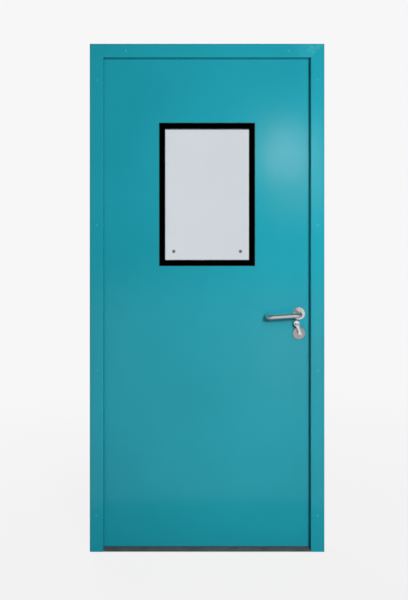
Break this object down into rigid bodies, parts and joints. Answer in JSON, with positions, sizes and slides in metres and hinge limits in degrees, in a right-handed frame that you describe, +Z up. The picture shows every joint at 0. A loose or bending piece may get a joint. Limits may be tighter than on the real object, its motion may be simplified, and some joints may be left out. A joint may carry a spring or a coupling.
{
  "type": "steel door with vision panel",
  "caption": "Flush painted steel door leaf with a glazed vision panel, lever, thumb turn and lock, hung on lift-off hinges in a folded steel wall frame.",
  "frame": {"origin": "on the floor, at the middle of the frame's width and of its depth through the wall", "axes": "+X to the right seen from the push side, +Y through the wall to the pull side, +Z up"},
  "size_m": [0.98, 0.194, 2.12],
  "materials": {
    "teal_paint": "powder coat, semi-gloss",
    "stainless": "fine brushed stainless",
    "zinc_steel": "zinc-plated",
    "brass": "turned",
    "aluminium": "mill finish",
    "rubber": "matt",
    "sealant": "satin silicone",
    "black_enamel": "gloss black border",
    "glass": "clear polished",
    "core_board": "paper honeycomb",
    "subframe_plastic": "extruded"
  },
  "bodies": {
    "frame": {"hinge_jamb": "teal_paint", "strike_jamb": "teal_paint", "frame_head": "teal_paint", "corner_cleats": "zinc_steel", "frame_gasket": "rubber", "frame_rivets": "teal_paint", "threshold_strip": "rubber", "strike_plate": "stainless", "strike_box": "zinc_steel", "strike_screws": "stainless", "hinge_backing_plates": "zinc_steel", "hinge_frame_plate_1": "stainless", "hinge_frame_plate_2": "stainless", "hinge_frame_plate_3": "stainless", "hinge_pins": "stainless", "hinge_washers": "brass", "hinge_frame_screws": "stainless"},
    "leaf": {"hinge_leaf_plate_1": "stainless", "hinge_leaf_plate_2": "stainless", "hinge_leaf_plate_3": "stainless", "hinge_leaf_screws": "stainless", "front_skin": "teal_paint", "rear_skin": "teal_paint", "leaf_core": "core_board", "hinge_stile": "zinc_steel", "lock_stile": "zinc_steel", "top_rail": "zinc_steel", "bottom_rail": "zinc_steel", "sweep_carrier": "aluminium", "sweep_blade": "rubber", "window_subframe": "subframe_plastic", "front_glass": "glass", "rear_glass": "glass", "front_glass_band": "black_enamel", "rear_glass_band": "black_enamel", "glass_spacer": "aluminium", "glass_sealant": "sealant", "glass_plugs": "rubber", "lock_case": "zinc_steel", "lock_cover": "zinc_steel", "lock_faceplate": "stainless", "faceplate_screws": "stainless", "front_lever_rose": "stainless", "rear_lever_rose": "stainless", "front_turn_rose": "stainless", "rear_turn_rose": "stainless", "rose_bases": "zinc_steel", "rose_bolts": "zinc_steel"},
    "lever": {"front_lever": "stainless", "rear_lever": "stainless", "lever_spindle": "zinc_steel", "lever_hub": "brass", "lever_grub_screws": "stainless"},
    "turn": {"thumb_turn": "stainless", "release_disc": "stainless", "turn_spindle": "zinc_steel", "bolt_crank": "brass"},
    "latch": {"latch_bolt": "stainless"},
    "bolt": {"dead_bolt": "stainless"}
  },
  "joints": [
    {"name": "leaf_swing", "type": "hinge", "parent": "frame", "child": "leaf", "pos_m": [-0.446, 0.0525, 0], "axis": [0, 0, 1], "range_deg": [0, 110]},
    {"name": "lever_turn", "type": "hinge", "parent": "leaf", "child": "lever", "pos_m": [0.387, 0.02, 0.99], "axis": [0, -1, 0], "range_deg": [0, 45], "stiffness_Nm_per_rad": 2.5, "springref_deg": -34.38},
    {"name": "thumb_turn", "type": "hinge", "parent": "leaf", "child": "turn", "pos_m": [0.387, 0.02, 0.907], "axis": [0, -1, 0], "range_deg": [0, 90]},
    {"name": "bolt_slide", "type": "slide", "parent": "leaf", "child": "bolt", "axis": [1, 0, 0], "range_m": [0, 0.02]},
    {"name": "latch_slide", "type": "slide", "parent": "leaf", "child": "latch", "axis": [1, 0, 0], "range_m": [0, 0.012]}
  ],
  "couplings": [
    {"joint": "bolt_slide", "follows": "thumb_turn", "m_per_rad": 0.012731}
  ]
}
